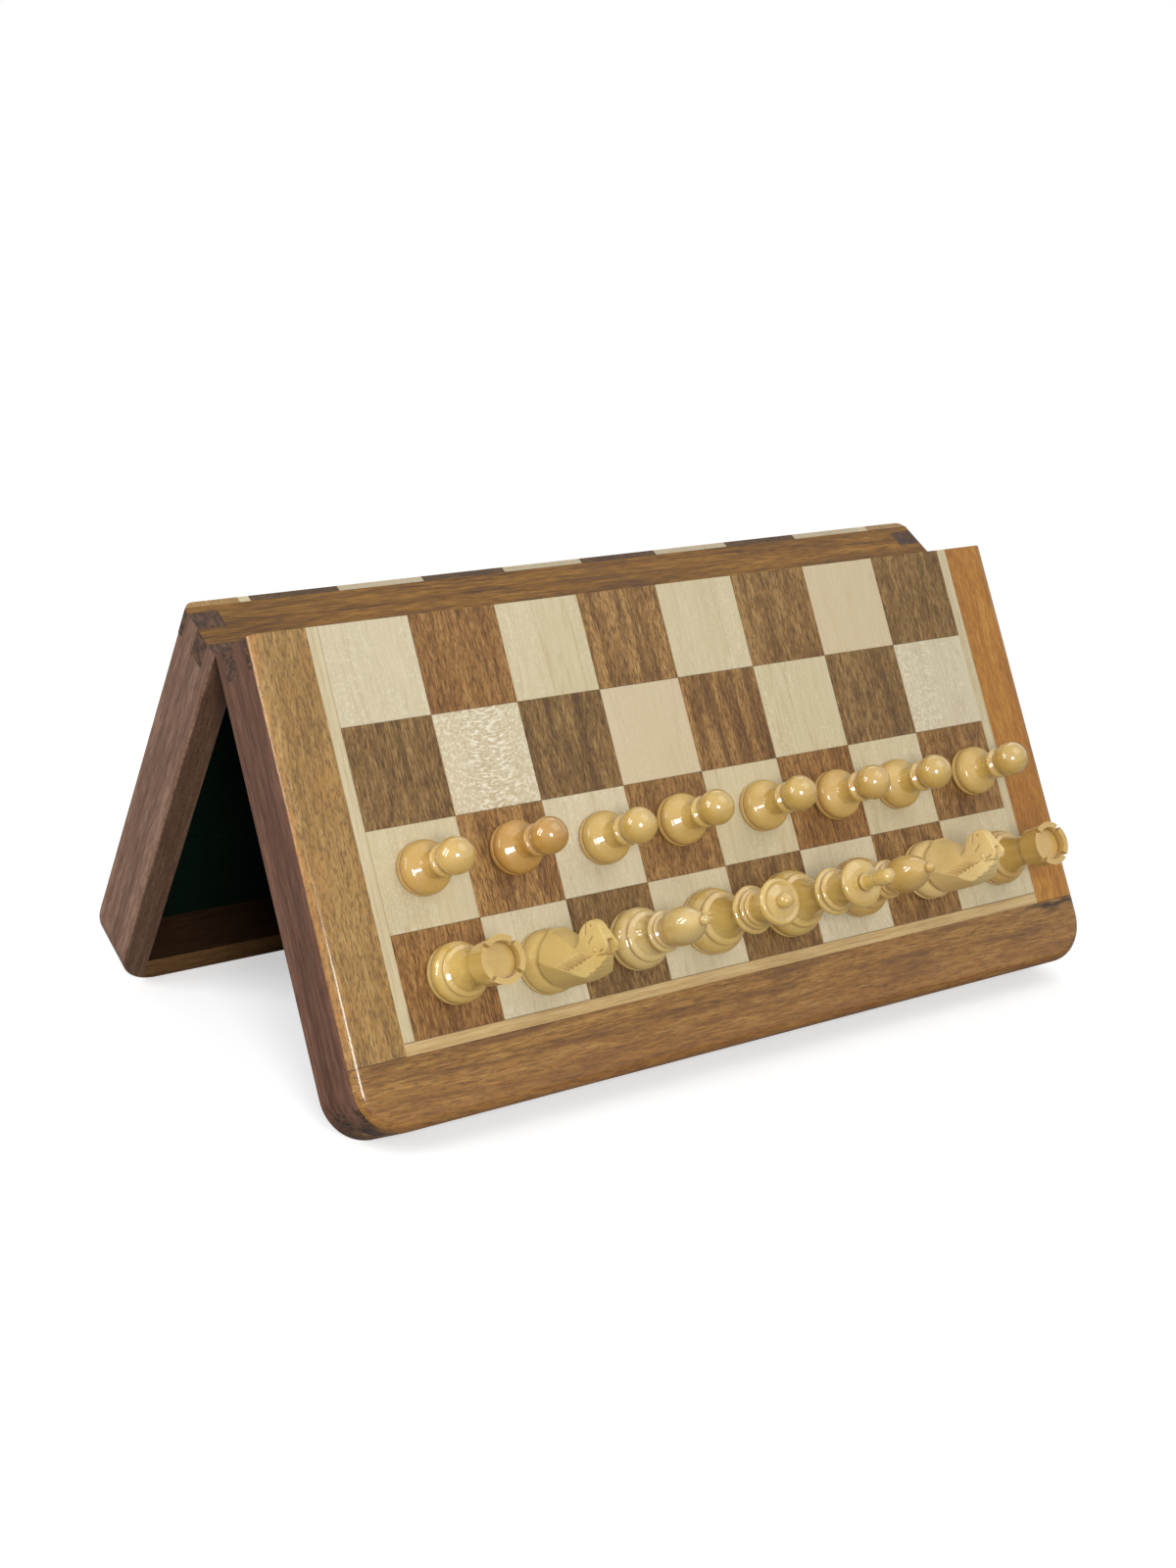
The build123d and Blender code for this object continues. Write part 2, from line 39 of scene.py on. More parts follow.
HALF_LENGTH = PLAY_LENGTH + INLAY + FAR_BORDER
FAR_BORDER_START = PLAY_LENGTH + INLAY - GLUE_LINE / 2

# Chess pieces over the board, in the same millimetres
PAD_TOP = BOARD_FACE + 0.43
FOOT_GROOVE = BOARD_FACE + 2.3
PAWN_NECK = BOARD_FACE + 9.0

# Places where the wood of the photograph changes, in the same millimetres; the left walls grow
# lighter towards the far end as painted light, and the hinge walls darker towards their left end
OUTER_EDGE = (138, 152)
KNOT_FROM_HINGE = 133.6
KNOT_HALF_WIDTH = 1.7
KNOT_ALONG = (118, 134)
LEFT_WALL_PAINTED_LIGHT = (20, 140)
HINGE_WALL_FADE = (-150, -20)
SWIRL_MIDDLE, SWIRL_REACH = 8, 34

# Camera, from the fit to the photograph
CAMERA_PLACE = (-0.4826, -0.6382, 0.3266)
CAMERA_RIGHT = Vector((0.80982, -0.58497, 0.04483))
CAMERA_UP = Vector((0.14422, 0.27255, 0.95127))
LENS_MM = 55.6
SENSOR_MM = 36.0
CLIP_METRES = (0.01, 20)

# Light: each lamp's shape, its direction from the set, its distance, width and height in metres
# and its watts
AMBIENT = 0.35
LAMP_TARGET = Vector((0, -0.03, 0.08))
LAMPS = {
    "camera_side_disk": ("ELLIPSE", (-0.435, -0.832, 0.346), 1.3, 0.34, 0.34, 9.0),
    "left_strip_near": ("RECTANGLE", (-0.936, 0.074, 0.353), 1.2, 0.17, 0.72, 3.6),
    "left_strip_far": ("RECTANGLE", (-0.864, 0.366, 0.353), 1.2, 0.17, 0.72, 3.6),
    "top_box": ("RECTANGLE", (0.3, -0.5, 1.0), 1.6, 1.2, 1.2, 6.0),
    "rear_box": ("RECTANGLE", (0.35, 0.8, 0.5), 1.8, 1.4, 1.4, 8.0),
}

# Floor: its half width and where it fades to white, in metres, its grey and own light as the camera
# sees it, and the grey that it throws on the set
FLOOR_REACH = 6.0
FLOOR_FADE = (0.30, 0.75)
FLOOR_SHADE = 0.8
FLOOR_LIFT = 0.5
FLOOR_BOUNCE = 0.4

JOINTS = {j["name"]: j for j in frame["joints"]}
HINGE_POINT = Vector(JOINTS["fold"]["pos_m"])
OUTWARD = {
    "front": Vector(JOINTS["white_king_lift"]["axis"]),
    "rear": Vector(JOINTS["black_king_lift"]["axis"]),
}
ALONG_X, ALONG_U = 0, 1

# Sealed wood of the board, and the block in millimetres that each square is cut from somewhere
OILED = {"specular_ior_level": 0.2, "coat_weight": 0.2, "coat_roughness": 0.25}
DRY = OILED | {"coat_weight": 0.15}
VARNISHED = OILED | {"coat_weight": 0.5, "coat_roughness": 0.12}
WOOD_BLOCK = (400, 400, 400)

# Chess pieces: their lacquers; how far in millimetres a groove is looked for, with the open shares
# at which its painted shade and polish are darkest and no longer dark; and the voxel in metres that
# rounds carved edges
LACQUER = {"coat_weight": 1.0, "coat_roughness": 0.05, "coat_ior": 1.7}
CARVED_LACQUER = {"coat_weight": 0.25, "coat_roughness": 0.3, "coat_ior": 1.5}
STAINED_LACQUER = {"coat_weight": 0.5, "coat_roughness": 0.05, "coat_ior": 1.5}
TURNED_GROOVES = (1.0, 0.45, 0.95)
CARVED_GROOVES = (0.8, 0.7, 0.98)
CARVING_VOXEL = 0.00022

# Duller lacquer on the pale pawns up to their neck: share of the coat; value and saturation of the
# painted sheen, paler wood for the reflection that the duller coat gives up; and the millimetres
# over which it blends in
SATIN_COAT = 0.4
SATIN_PAINTED_SHEEN_VALUE = 1.03
SATIN_PAINTED_SHEEN_SATURATION = 0.96
SATIN_BLEND = 1.0

# Squares of the front half that stand out, by column from the left and row from the hinge
RED_WALNUT = [(2, 1), (6, 3), (1, 4)]
BROWN_WALNUT = [(5, 2), (2, 3), (4, 3), (8, 3)]
GREY_WALNUT = [(8, 1), (1, 2), (3, 2), (7, 2)]
STRIPED_WALNUT = [(4, 1), (3, 2), (5, 2)]
BRIGHT_WALNUT = [(4, 1), (2, 3)]
CURLY_MAPLE = [(2, 2)]
HALF_CURLY_MAPLE = [(8, 2)]
PINK_MAPLE = [(7, 1), (4, 2)]


def tone(red, green, blue):
    """Linear colour of an 8-bit screen colour."""
    def linear(level):
        share = level / 255
        return share / 12.92 if share <= 0.04045 else ((share + 0.055) / 1.055) ** 2.4
    return (linear(red), linear(green), linear(blue), 1.0)


def grey(level):
    """Grey of a linear level."""
    return (level, level, level, 1.0)


def grain_size(direction, width, length):
    """Size of a streak that runs along a direction."""
    size = [width] * 3
    size[direction] = length
    return size


def down_the_board(half):
    """Direction from the hinge to the far edge on a half's face."""
    out = OUTWARD[half]
    side = -1 if half == "front" else 1
    return Vector((0, side * out.z, -abs(out.y)))


class Finish:
    """A material's node tree, with a short call for each kind of node."""

    def __init__(self, name):
        self.material = bpy.data.materials.new(name)
        self.material.use_nodes = True
        self.tree = self.material.node_tree
        self.tree.nodes.clear()

    def put(self, kind, inputs=None, **settings):
        """New node with its inputs, by name or number, and its settings."""
        node = self.tree.nodes.new(kind)
        for key, value in settings.items():
            setattr(node, key, value)
        for key, value in (inputs or {}).items():
            self.feed(node.inputs[key], value)
        return node

    def feed(self, socket, value):
        """Link a socket's value, or set a plain one."""
        if isinstance(value, bpy.types.NodeSocket):
            self.tree.links.new(value, socket)
        else:
            socket.default_value = value

    def maths(self, operation, a, b=0.0, c=0.0, clamp=False):
        inputs = {0: a, 1: b, 2: c}
        return self.put("ShaderNodeMath", inputs, operation=operation, use_clamp=clamp).outputs[0]

    def times(self, *factors):
        product = factors[0]
        for factor in factors[1:]:
            product = self.maths("MULTIPLY", product, factor)
        return product

    def vector(self, operation, a, b):
        return self.put("ShaderNodeVectorMath", {0: a, 1: b}, operation=operation).outputs[0]

    def dot(self, a, b):
        return self.put("ShaderNodeVectorMath", {0: a, 1: b}, operation="DOT_PRODUCT").outputs[1]

    def combine(self, x, y, z):
        return self.put("ShaderNodeCombineXYZ", {0: x, 1: y, 2: z}).outputs[0]

    def noise(self, vector, detail=2.0, roughness=0.5, distortion=0.0):
        inputs = {"Vector": vector, "Scale": 1.0, "Detail": detail, "Roughness": roughness,
                  "Distortion": distortion}
        return self.put("ShaderNodeTexNoise", inputs).outputs["Fac"]

    def streaks(self, place, size, detail=2.0):
        """Noise whose features have the given size in mm along each direction."""
        scale = tuple(1 / length for length in size)
        return self.noise(self.vector("MULTIPLY", place, scale), detail)

    def chance(self, vector):
        """Random value and colour that are the same all over a cell."""
        node = self.put("ShaderNodeTexWhiteNoise", {"Vector": vector}, noise_dimensions="3D")
        return node.outputs["Value"], node.outputs["Color"]

    def ramp(self, factor, *stops):
        node = self.put("ShaderNodeValToRGB", {"Fac": factor})
        elements = node.color_ramp.elements
        while len(elements) < len(stops):
            elements.new(0.5)
        for element, (position, colour) in zip(elements, stops):
            element.position = position
            element.color = colour
        return node.outputs["Color"]

    def woods(self, body, dark, middle, pale, spread=0.15):
        """Colour of a plank from its figure, which is about 0.5 on the middle tone."""
        return self.ramp(body, (0.5 - spread, dark), (0.5, middle), (0.5 + spread, pale))

    def mix(self, factor, a, b):
        """Colour from a at factor 0 to b at factor 1."""
        node = self.put("ShaderNodeMix", data_type="RGBA")
        self.feed(node.inputs[0], factor)
        self.feed(node.inputs[6], a)
        self.feed(node.inputs[7], b)
        return node.outputs[2]

    def stain(self, wood, where, strength, colour):
        """The wood with some of a colour laid over it."""
        return self.mix(self.times(where, strength), wood, colour)

    def shade(self, colour, value=1.0, saturation=1.0):
        inputs = {"Color": colour, "Value": value, "Saturation": saturation}
        return self.put("ShaderNodeHueSaturation", inputs).outputs[0]

    def remap(self, value, low, high, to_low=0.0, to_high=1.0):
        inputs = {"Value": value, "From Min": low, "From Max": high, "To Min": to_low,
                  "To Max": to_high}
        return self.put("ShaderNodeMapRange", inputs, clamp=True).outputs[0]

    def near(self, value, middle, reach):
        """1 at the middle, falling to 0 at the reach on both sides."""
        distance = self.maths("ABSOLUTE", self.maths("SUBTRACT", value, middle))
        return self.remap(distance, 0.0, reach, 1.0, 0.0)

    def bump(self, height, depth_mm):
        inputs = {"Height": height, "Distance": depth_mm / 1000}
        return self.put("ShaderNodeBump", inputs).outputs[0]

    def groove_shade_and_polish(self, reach_mm, deep, shallow):
        """Painted shade and dark polish in the grooves of a piece: 1 where the open share falls to
        deep, and 0 at shallow.
        """
        inputs = {"Distance": reach_mm / 1000}
        node = self.put("ShaderNodeAmbientOcclusion", inputs, samples=8, only_local=True)
        return self.remap(node.outputs["AO"], deep, shallow, 1.0, 0.0)

    def object_place(self):
        """Place on the piece in millimetres."""
        place = self.put("ShaderNodeTexCoord").outputs["Object"]
        return self.vector("MULTIPLY", place, (1000, 1000, 1000))

    def object_normal(self):
        return self.put("ShaderNodeTexCoord").outputs["Normal"]

    def close(self, colour, roughness, normal, **values):
        """Principled surface; plain numbers go straight on its sockets."""
        inputs = {"Base Color": colour, "Roughness": roughness, "Normal": normal}
        shader = self.put("ShaderNodeBsdfPrincipled", inputs)
        for key, value in values.items():
            socket = key.replace("_", " ").title().replace("Ior", "IOR")
            self.feed(shader.inputs[socket], value)
        self.put("ShaderNodeOutputMaterial", {0: shader.outputs[0]})
        return self.material


class BoardFinish(Finish):
    """Finish laid out in a half's own millimetres."""

    def __init__(self, name, half):
        super().__init__(name)
        away = down_the_board(half)
        offset = self.vector("SUBTRACT", self.object_place(), tuple(1000 * HINGE_POINT))
        self.x = self.dot(offset, (1, 0, 0))
        self.u = self.dot(offset, tuple(away))
        self.w = self.dot(offset, tuple(OUTWARD[half]))
        self.place = self.combine(self.x, self.u, self.w)
        normal = self.object_normal()
        self.facing_x = self.maths("ABSOLUTE", self.dot(normal, (1, 0, 0)))
        self.facing_u = self.maths("ABSOLUTE", self.dot(normal, tuple(away)))
        self.facing_w = self.maths("ABSOLUTE", self.dot(normal, tuple(OUTWARD[half])))

    def squares(self):
        """Column and row, counted from 0, and the place inside the square from 0 to 1."""
        columns = self.maths("DIVIDE", self.maths("ADD", self.x, PLAY_HALF_WIDTH), SQUARE)
        rows = self.maths("DIVIDE", self.u, SQUARE)
        inside = self.maths("FRACT", columns), self.maths("FRACT", rows)
        return self.maths("FLOOR", columns), self.maths("FLOOR", rows), *inside

    def only(self, column, row, squares):
        """1 on the listed squares, counted from 1, and 0 elsewhere."""
        total = 0.0
        for wanted_column, wanted_row in squares:
            same_column = self.maths("COMPARE", column, wanted_column - 1, 0.5)
            same_row = self.maths("COMPARE", row, wanted_row - 1, 0.5)
            total = self.maths("ADD", self.times(same_column, same_row), total)
        return total

    def cut(self, column, row, seed):
        """Random value of a square, and its place in the block of wood that it is cut from."""
        chance, colour = self.chance(self.combine(column, row, seed))
        shift = self.vector("MULTIPLY", colour, WOOD_BLOCK)
        return chance, self.vector("ADD", self.place, shift)

    def swaying(self, place, direction, reach, length):
        """Place whose grain lines sway sideways by up to the reach, over the length."""
        size = grain_size(direction, length / 3, length)
        sway = self.maths("SUBTRACT", self.streaks(place, size, 1.0), 0.5)
        shift = self.maths("MULTIPLY", sway, 2 * reach)
        parts = [shift, shift, shift]
        parts[direction] = 0.0
        return self.vector("ADD", place, self.combine(*parts))

    def plank(self, place, direction, *layers):
        """Sum of layers of streaks along the grain, each of a width, a length and a share."""
        total = 0.0
        for width, length, share in layers:
            streaks = self.streaks(place, grain_size(direction, width, length))
            total = self.maths("MULTIPLY_ADD", streaks, share, total)
        return total

    def pores(self, place, direction, *layers):
        """1 in short dark pores: layers, each of a width, a length and a level that thins them."""
        total = 0.0
        for width, length, level in layers:
            streaks = self.streaks(place, grain_size(direction, width, length), 1.0)
            total = self.maths("MAXIMUM", self.remap(streaks, level, level + 0.08), total)
        return total


def dark_squares(half, seed):
    """Walnut squares, each cut from another stretch of wood, grain away from the hinge."""
    n = BoardFinish(f"{half}_walnut", half)
    column, row, *_ = n.squares()
    chance, place = n.cut(column, row, seed)
    place = n.swaying(place, ALONG_U, 1.6, 60)
    broad = n.plank(place, ALONG_U, (6, 90, 1.0))
    body = n.plank(place, ALONG_U, (5, 60, 0.3), (1.2, 14, 0.25), (0.42, 3.5, 0.45))
    grey_wood = n.woods(body, tone(90, 66, 38), tone(130, 100, 60), tone(166, 134, 86), 0.12)
    red_wood = n.woods(body, tone(102, 66, 34), tone(147, 104, 57), tone(177, 134, 80), 0.12)
    reddish = n.remap(chance, 0.2, 0.9, 0.1, 0.7)
    striped = n.remap(chance, 0.6, 0.9)
    if half == "front":
        reddish = n.times(reddish, 0.6)
        for squares, share in ((RED_WALNUT, 0.85), (BROWN_WALNUT, 0.5)):
            reddish = n.maths("MAXIMUM", reddish, n.times(n.only(column, row, squares), share))
        reddish = n.maths("SUBTRACT", reddish, n.only(column, row, GREY_WALNUT), clamp=True)
        striped = n.only(column, row, STRIPED_WALNUT)
    wood = n.mix(reddish, grey_wood, red_wood)
    bands = n.remap(broad, 0.5, 0.6)
    wood = n.mix(n.times(striped, bands, 0.5), wood, tone(78, 54, 33))
    value = n.remap(chance, 0.0, 1.0, 0.9, 1.06)
    if half == "front":
        bright = n.only(column, row, BRIGHT_WALNUT)
        value = n.maths("MULTIPLY_ADD", bright, 0.3, value)
    wood = n.shade(wood, value)
    pores = n.pores(place, ALONG_U, (0.5, 4.0, 0.56), (0.42, 1.8, 0.58))
    wood = n.stain(wood, pores, 0.6, tone(70, 48, 29))
    sawn = n.remap(n.facing_u, 0.6, 0.8)
    wood = n.stain(wood, sawn, 0.7, tone(46, 31, 22))
    height = n.maths("MULTIPLY_ADD", pores, -0.6, body)
    roughness = n.remap(body, 0.35, 0.65, 0.5, 0.62)
    return n.close(wood, roughness, n.bump(height, 0.05), **DRY)


def curly_figure(n, place, column, row, across):
    """Dark painted shade and pale painted highlights in the ripples of curly maple, on the squares
    that have it.
    """
    arched = n.times(n.maths("POWER", n.maths("SUBTRACT", across, 0.55), 2.0), 18.0)
    curled = n.vector("ADD", place, n.combine(0.0, arched, 0.0))
    ripple = n.noise(n.vector("MULTIPLY", curled, (0.42, 1.25, 1.0)), 1.0)
    speckle = n.noise(n.vector("MULTIPLY", place, (1.1, 0.9, 1.0)), 1.0)
    middle = n.remap(n.near(across, 0.56, 0.42), 0.2, 0.6)
    figure = n.mix(middle, speckle, ripple)
    left_part = n.remap(across, 0.1, 0.6, 0.8, 0.0)
    half_curly = n.times(n.only(column, row, HALF_CURLY_MAPLE), left_part)
    curly = n.maths("ADD", n.only(column, row, CURLY_MAPLE), half_curly)
    strength = n.times(curly, n.remap(middle, 0.0, 1.0, 0.6, 1.0))
    ripple_shade = n.times(strength, n.near(figure, 0.42, 0.06))
    ripple_highlights = n.times(strength, n.remap(figure, 0.5, 0.68))
    return ripple_shade, ripple_highlights


def light_squares(half, seed):
    """Maple squares: pale and even, with painted glints of silky grain, thin growth lines and a
    curly square with painted highlights and shade on its ripples.
    """
    n = BoardFinish(f"{half}_maple", half)
    column, row, across, away = n.squares()
    chance, place = n.cut(column, row, seed)
    place = n.swaying(place, ALONG_U, 2.5, 80)
    body = n.plank(place, ALONG_U, (9, 120, 0.25), (2.0, 50, 0.3), (0.6, 7, 0.45))
    wood = n.woods(body, tone(188, 172, 137), tone(202, 188, 153), tone(214, 202, 170), 0.3)
    rings = n.near(n.plank(place, ALONG_U, (9, 150, 1.0)), 0.5, 0.014)
    fine_rings = n.near(n.plank(place, ALONG_U, (5, 110, 1.0)), 0.6, 0.014)
    growth = n.maths("MAXIMUM", rings, fine_rings)
    wood = n.stain(wood, growth, 0.35, tone(170, 147, 108))
    # Painted glints: pale silky specks, in patches along the grain
    silk_glints = n.noise(n.vector("MULTIPLY", place, (1.2, 0.8, 1.0)), 2.0)
    patch = n.remap(n.plank(place, ALONG_U, (9, 50, 1.0)), 0.42, 0.6, 0.25, 1.0)
    flecks = n.times(n.remap(silk_glints, 0.52, 0.64), patch)
    wood = n.stain(wood, flecks, 0.4, tone(226, 215, 188))
    value = n.remap(chance, 0.0, 1.0, 0.98, 1.02)
    wood = n.shade(wood, value, n.remap(chance, 0.0, 1.0, 1.04, 0.88))
    height = n.maths("MULTIPLY_ADD", flecks, 0.7, body)
    if half == "front":
        ripple_shade, ripple_highlights = curly_figure(n, place, column, row, across)
        # Painted shade and painted highlights on the curly maple's ripples
        wood = n.stain(wood, ripple_shade, 0.55, tone(160, 130, 92))
        wood = n.stain(wood, ripple_highlights, 0.8, tone(240, 232, 211))
        wood = n.stain(wood, n.only(column, row, PINK_MAPLE), 0.5, tone(204, 182, 148))
        height = n.maths("MULTIPLY_ADD", ripple_highlights, 2.0, height)
    left_edge = n.remap(across, 0.0, 0.35 / SQUARE, 1.0, 0.0)
    wood = n.stain(wood, left_edge, 0.75, tone(160, 118, 70))
    from_edge = n.maths("MINIMUM", away, n.maths("SUBTRACT", 1.0, away))
    rows_edge = n.remap(from_edge, 0.0, 0.3 / SQUARE, 1.0, 0.0)
    wood = n.stain(wood, rows_edge, 0.55, tone(104, 78, 50))
    return n.close(wood, 0.5, n.bump(height, 0.04), **OILED)


def inlay(half):
    """Pale lines round the squares, with a dark glue line beside the far one."""
    n = BoardFinish(f"{half}_inlay", half)
    far = n.maths("GREATER_THAN", n.u, PLAY_LENGTH)
    side_body = n.plank(n.place, ALONG_U, (1.0, 40, 0.6), (0.5, 6, 0.4))
    far_body = n.plank(n.place, ALONG_X, (1.0, 40, 0.6), (0.5, 6, 0.4))
    side = n.woods(side_body, tone(186, 169, 132), tone(199, 184, 149), tone(208, 194, 161))
    end = n.woods(far_body, tone(176, 144, 94), tone(196, 166, 115), tone(206, 180, 132))
    wood = n.mix(far, side, end)
    glue = n.near(n.u, PLAY_LENGTH, 0.3)
    wood = n.stain(wood, glue, 0.8, tone(84, 58, 34))
    return n.close(wood, 0.5, n.bump(side_body, 0.03), **OILED)


def side_strips(n, half):
    """Wood and flecks of the olive side strips; the front's right one is golden."""
    place = n.swaying(n.place, ALONG_U, 1.2, 90)
    body = n.plank(place, ALONG_U, (6, 60, 0.3), (1.4, 12, 0.3), (0.6, 4, 0.4))
    wood = n.woods(body, tone(122, 90, 44), tone(156, 120, 64), tone(182, 148, 90), 0.14)
    clouds = n.plank(n.place, ALONG_U, (12, 22, 1.0))
    wood = n.mix(n.remap(clouds, 0.48, 0.64, 0.0, 0.35), wood, tone(172, 122, 62))
    flecks = n.pores(place, ALONG_U, (0.55, 2.2, 0.55), (0.5, 4.0, 0.6))
    strength = 0.5
    if half == "front":
        gold = n.woods(body, tone(144, 90, 24), tone(168, 111, 35), tone(188, 136, 58), 0.14)
        right = n.maths("GREATER_THAN", n.x, 0.0)
        wood = n.mix(right, wood, gold)
        strength = n.mix(right, grey(strength), grey(0.2))
    wood = n.stain(wood, flecks, strength, tone(80, 56, 32))
    if half == "front":
        outer = n.near(n.maths("ABSOLUTE", n.x), HALF_WIDTH - 0.6, 1.1)
        broken = n.remap(n.noise(n.place, 2.0), 0.4, 0.6)
        wood = n.mix(n.times(outer, broken, 0.5), wood, tone(186, 120, 62))
    return wood, flecks


def far_strip(n, half):
    """Wood and flecks of the darker far strip, its grain crosswise, with a knot on the front."""
    place = n.swaying(n.place, ALONG_X, 3.0, 80)
    body = n.plank(place, ALONG_X, (4, 70, 0.3), (1.5, 22, 0.3), (0.65, 7, 0.4))
    wood = n.woods(body, tone(104, 70, 32), tone(148, 105, 49), tone(176, 134, 74), 0.15)
    shadows = n.plank(place, ALONG_X, (5, 44, 1.0))
    wood = n.mix(n.remap(shadows, 0.52, 0.64, 0.0, 0.5), wood, tone(98, 64, 34))
    outer = n.remap(n.u, *OUTER_EDGE, 0.0, 0.4)
    wood = n.mix(outer, wood, tone(144, 92, 46))
    flecks = n.pores(n.place, ALONG_X, (0.6, 5.0, 0.56), (0.5, 2.2, 0.6))
    wood = n.stain(wood, flecks, 0.4, tone(74, 50, 28))
    if half == "front":
        sway = n.maths("SUBTRACT", n.streaks(n.place, (9, 3, 3)), 0.5)
        wander = n.maths("MULTIPLY_ADD", sway, 5.0, n.u)
        along = n.remap(n.x, *KNOT_ALONG)
        knot = n.times(n.near(wander, KNOT_FROM_HINGE, KNOT_HALF_WIDTH), along)
        wood = n.stain(wood, knot, 0.97, tone(30, 17, 10))
    return wood, flecks


def borders(half):
    """Strips round the squares, with a dark glue line before the far one."""
    n = BoardFinish(f"{half}_borders", half)
    far = n.maths("GREATER_THAN", n.u, FAR_BORDER_START)
    side_wood, side_flecks = side_strips(n, half)
    far_wood, far_flecks = far_strip(n, half)
    wood = n.mix(far, side_wood, far_wood)
    joint = n.near(n.u, FAR_BORDER_START, 0.3)
    wood = n.stain(wood, joint, 0.75, tone(58, 36, 20))
    height = n.mix(far, side_flecks, far_flecks)
    return n.close(wood, 0.5, n.bump(height, -0.04), **VARNISHED)


# Dark, middle and pale tone of each wall's wood
WALL_TONES = {
    "left_wall": {"front": ((66, 40, 27), (91, 59, 43), (112, 78, 60)),
                  "rear": ((84, 57, 42), (110, 80, 63), (134, 104, 86))},
    "right_wall": {"front": ((84, 56, 35), (118, 83, 54), (144, 108, 76)),
                   "rear": ((76, 52, 38), (106, 78, 60), (134, 105, 84))},
    "hinge_wall": {"front": ((86, 54, 14), (128, 86, 26), (158, 112, 46)),
                   "rear": ((76, 47, 13), (118, 80, 26), (150, 108, 44))},
    "far_wall": {"front": ((84, 55, 24), (124, 87, 42), (152, 114, 66)),
                 "rear": ((84, 55, 24), (120, 84, 42), (148, 110, 64))},
}


def wall(half, name, direction):
    """Wall of the case; end grain shows where a face is square to the grain."""
    n = BoardFinish(f"{half}_{name}_wood", half)
    place = n.swaying(n.place, direction, 2.0, 90)
    body = n.plank(place, direction, (5, 110, 0.34), (1.4, 30, 0.3), (0.6, 7, 0.36))
    dark, middle, pale = (tone(*level) for level in WALL_TONES[name][half])
    wood = n.woods(body, dark, middle, pale, 0.12)
    # Painted light: the left walls grow lighter towards the far end
    if name == "left_wall":
        wood = n.shade(wood, n.remap(n.u, *LEFT_WALL_PAINTED_LIGHT, 0.95, 1.09))
    if name == "hinge_wall":
        wood = n.shade(wood, n.remap(n.x, *HINGE_WALL_FADE, 0.84, 1.07))
    if direction == ALONG_X:
        curls = n.remap(n.plank(place, ALONG_X, (4, 26, 1.0)), 0.45, 0.6)
        swirl = n.times(n.near(n.x, SWIRL_MIDDLE, SWIRL_REACH), curls)
        wood = n.stain(wood, swirl, 0.6, tone(74, 48, 28))
        ends = n.facing_x
    else:
        ends = n.facing_u
    pores = n.pores(place, direction, (0.55, 5.0, 0.57))
    wood = n.stain(wood, pores, 0.5, dark)
    rings = n.streaks(n.place, (1.1, 1.1, 2.6))
    end_grain = n.woods(rings, tone(48, 32, 22), tone(72, 49, 34), tone(96, 68, 48))
    wood = n.mix(n.remap(ends, 0.55, 0.75), wood, end_grain)
    rim = n.times(n.remap(n.facing_w, 0.8, 0.95), n.remap(n.w, 0.6, 1.2, 1.0, 0.0))
    wood = n.stain(wood, rim, 0.35, dark)
    worn = n.times(n.near(n.w, 0.5, 0.5), n.remap(n.noise(n.place, 2.0), 0.45, 0.6))
    wood = n.stain(wood, worn, 0.35, tone(176, 138, 100))
    seam = n.near(n.w, WALL_TOP, 0.14)
    wood = n.stain(wood, seam, 0.6, tone(52, 34, 22))
    # Painted shade: inner faces of the tray darkened almost to black-brown, over a dark stain there
    inside = 1.0
    middle_u = n.maths("SUBTRACT", n.u, HALF_LENGTH / 2)
    for distance, reach in ((n.x, HALF_WIDTH), (middle_u, HALF_LENGTH / 2)):
        within = n.maths("LESS_THAN", n.maths("ABSOLUTE", distance), reach - WALL + 0.1)
        inside = n.times(inside, within)
    wood = n.stain(wood, inside, 0.9, tone(34, 20, 13))
    height = n.maths("MULTIPLY_ADD", pores, -0.6, body)
    return n.close(wood, 0.55, n.bump(height, 0.05), **DRY)


def felt():
    """Dark green felt, darkened further as painted shade inside the tray: short fibres every way,
    rubbed in patches.
    """
    n = Finish("tray_felt")
    place = n.object_place()
    nap = n.noise(place, 4.0, 0.7)
    fibres = n.noise(n.vector("MULTIPLY", place, (2.6, 0.8, 0.8)), 3.0, 0.6, 2.0)
    patches = n.noise(n.vector("MULTIPLY", place, (0.05, 0.05, 0.05)), 2.0)
    # Painted shade: the felt's tones are darkened nearly to black
    colour = n.woods(nap, tone(2, 13, 6), tone(3, 21, 10), tone(6, 31, 16))
    colour = n.mix(n.remap(fibres, 0.52, 0.7, 0.0, 0.35), colour, tone(10, 40, 22))
    colour = n.mix(n.remap(patches, 0.4, 0.6, 0.0, 0.4), colour, tone(2, 18, 10))
    height = n.maths("ADD", nap, fibres)
    return n.close(colour, 0.95, n.bump(height, 0.12), specular_ior_level=0.0,
                   sheen_weight=0.03, sheen_roughness=0.5)


def plywood():
    """Deck under the lining, seen only where a piece is taken apart."""
    n = Finish("deck_plywood")
    place = n.object_place()
    body = n.streaks(place, (30, 2.0, 2.0))
    colour = n.woods(body, tone(168, 136, 96), tone(190, 160, 118), tone(206, 180, 140))
    return n.close(colour, 0.75, n.bump(body, 0.03))


def metal(name, dark, pale, roughness, brushed):
    """Metal with fine drawn lines and a few smudges."""
    n = Finish(name)
    place = n.object_place()
    smudges = n.noise(n.vector("MULTIPLY", place, (0.4, 0.4, 0.4)), 3.0)
    lines = n.streaks(place, brushed)
    colour = n.mix(smudges, dark, pale)
    shine = n.remap(smudges, 0.3, 0.7, roughness * 0.8, roughness * 1.3)
    return n.close(colour, shine, n.bump(lines, 0.01), metallic=1.0)


